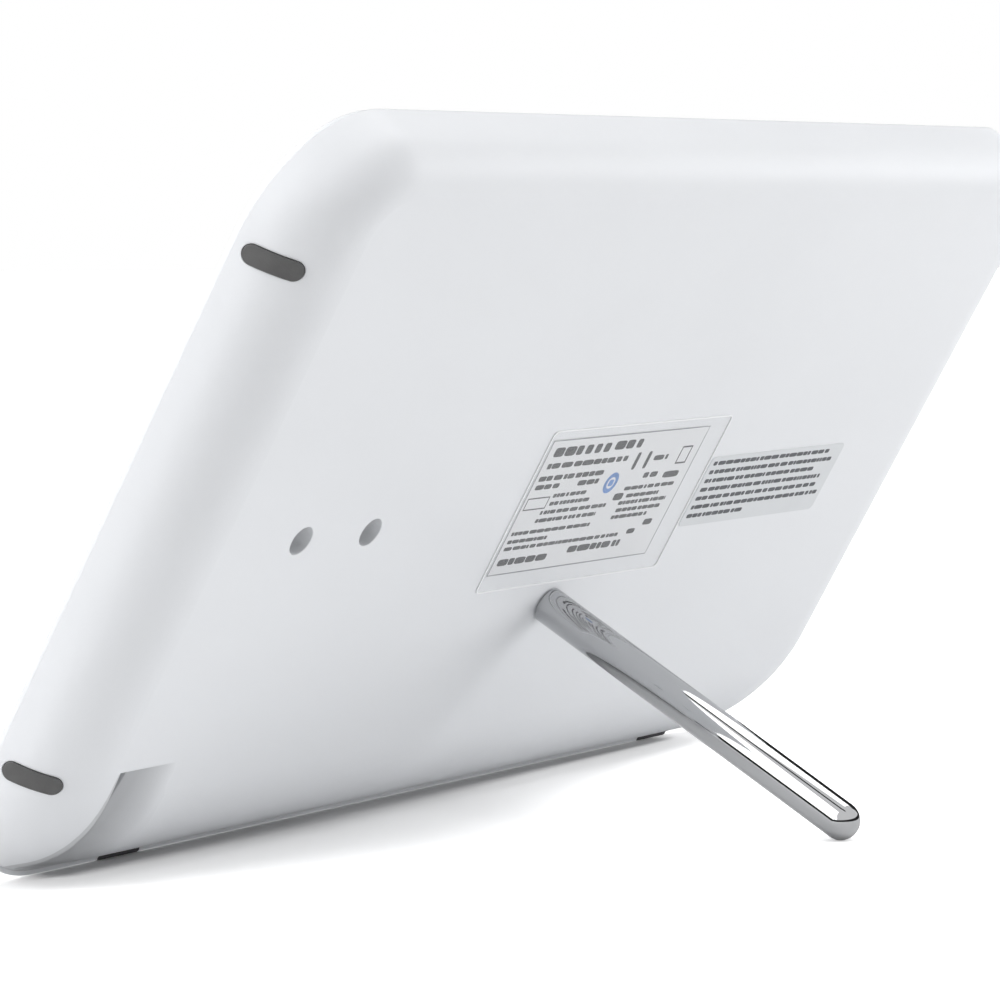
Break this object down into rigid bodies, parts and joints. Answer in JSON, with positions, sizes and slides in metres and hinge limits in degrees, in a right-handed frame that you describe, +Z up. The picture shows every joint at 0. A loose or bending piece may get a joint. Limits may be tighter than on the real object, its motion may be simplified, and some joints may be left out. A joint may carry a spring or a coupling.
{
  "type": "light therapy lamp",
  "caption": "Slim edge-lit light therapy panel with a rounded white housing, leaning on a screw-in chrome rod, with spare rod sockets for upright use.",
  "frame": {"origin": "bottom centre of the bounding box, on the floor that the two rubber feet and the rod's ball end stand on", "axes": "+Z up, +X along the panel's long side, to the left as seen from behind; the lit face looks towards -Y and up, and the rod goes back towards +Y"},
  "size_m": [0.2598, 0.103, 0.1269],
  "materials": {
    "white_housing": "satin",
    "opal_diffuser": "satin",
    "clear_acrylic": "polished",
    "white_film": "matte",
    "tray_aluminium": "rolled",
    "strip_white": "matte",
    "led_amber": "gloss",
    "screw_steel": "zinc plated",
    "board_green": "solder mask",
    "chip_black": "matte",
    "coil_ferrite": "matte",
    "capacitor_can": "bare",
    "connector_ivory": "matte",
    "lead_black": "matte",
    "lead_red": "matte",
    "jack_black": "matte",
    "contact_nickel": "nickel plated",
    "insert_nickel": "nickel plated",
    "stud_steel": "turned",
    "rod_chrome": "polished",
    "label_silver": "satin foil",
    "label_clear": "clear film",
    "label_grey": "satin",
    "pad_grey": "matte",
    "foot_dark": "matte"
  },
  "bodies": {
    "lamp": {"rear_housing": "white_housing", "front_frame": "white_housing", "diffuser_panel": "opal_diffuser", "light_guide": "clear_acrylic", "reflector_sheet": "white_film", "backlight_tray": "tray_aluminium", "led_strip_upper": "strip_white", "led_strip_lower": "strip_white", "leds_upper": "led_amber", "leds_lower": "led_amber", "frame_screws": "screw_steel", "control_board": "board_green", "driver_chip": "chip_black", "power_coil": "coil_ferrite", "capacitors": "capacitor_can", "lead_sockets": "connector_ivory", "jack_leads": "lead_red", "strip_leads": "lead_black", "dc_jack_body": "jack_black", "dc_jack_pin": "contact_nickel", "dc_jack_contact": "contact_nickel", "key_switch_body": "chip_black", "stand_inserts": "insert_nickel", "rating_label": "label_silver", "label_film": "label_clear", "info_label": "label_grey", "side_pad_upper": "pad_grey", "side_pad_lower": "pad_grey", "base_foot_left": "foot_dark", "base_foot_right": "foot_dark"},
    "stand_stud": {"stand_stud": "stud_steel"},
    "stand_rod": {"stand_rod": "rod_chrome"},
    "power_key": {"power_key": "white_housing"},
    "switch_plunger": {"key_switch_plunger": "connector_ivory"}
  },
  "joints": [
    {"name": "stand_screw_travel", "type": "slide", "parent": "lamp", "child": "stand_stud", "axis": [0, 0.8643, -0.503], "range_m": [0, 0.0032]},
    {"name": "stand_rod_turn", "type": "hinge", "parent": "stand_stud", "child": "stand_rod", "pos_m": [0, -0.01292, 0.03896], "axis": [0, 0.8643, -0.503], "range_deg": [0, 1440]},
    {"name": "power_key_press", "type": "slide", "parent": "lamp", "child": "power_key", "axis": [0, 0.8643, -0.503], "range_m": [0, 0.0003], "stiffness_N_per_m": 3000, "springref_m": -0.0001},
    {"name": "key_switch_plunger_press", "type": "slide", "parent": "lamp", "child": "switch_plunger", "axis": [0, 0.8643, -0.503], "range_m": [0, 0.0003]}
  ],
  "couplings": [
    {"joint": "stand_rod_turn", "follows": "stand_screw_travel", "rad_per_m": 7853.9},
    {"joint": "key_switch_plunger_press", "follows": "power_key_press", "ratio": 1}
  ]
}
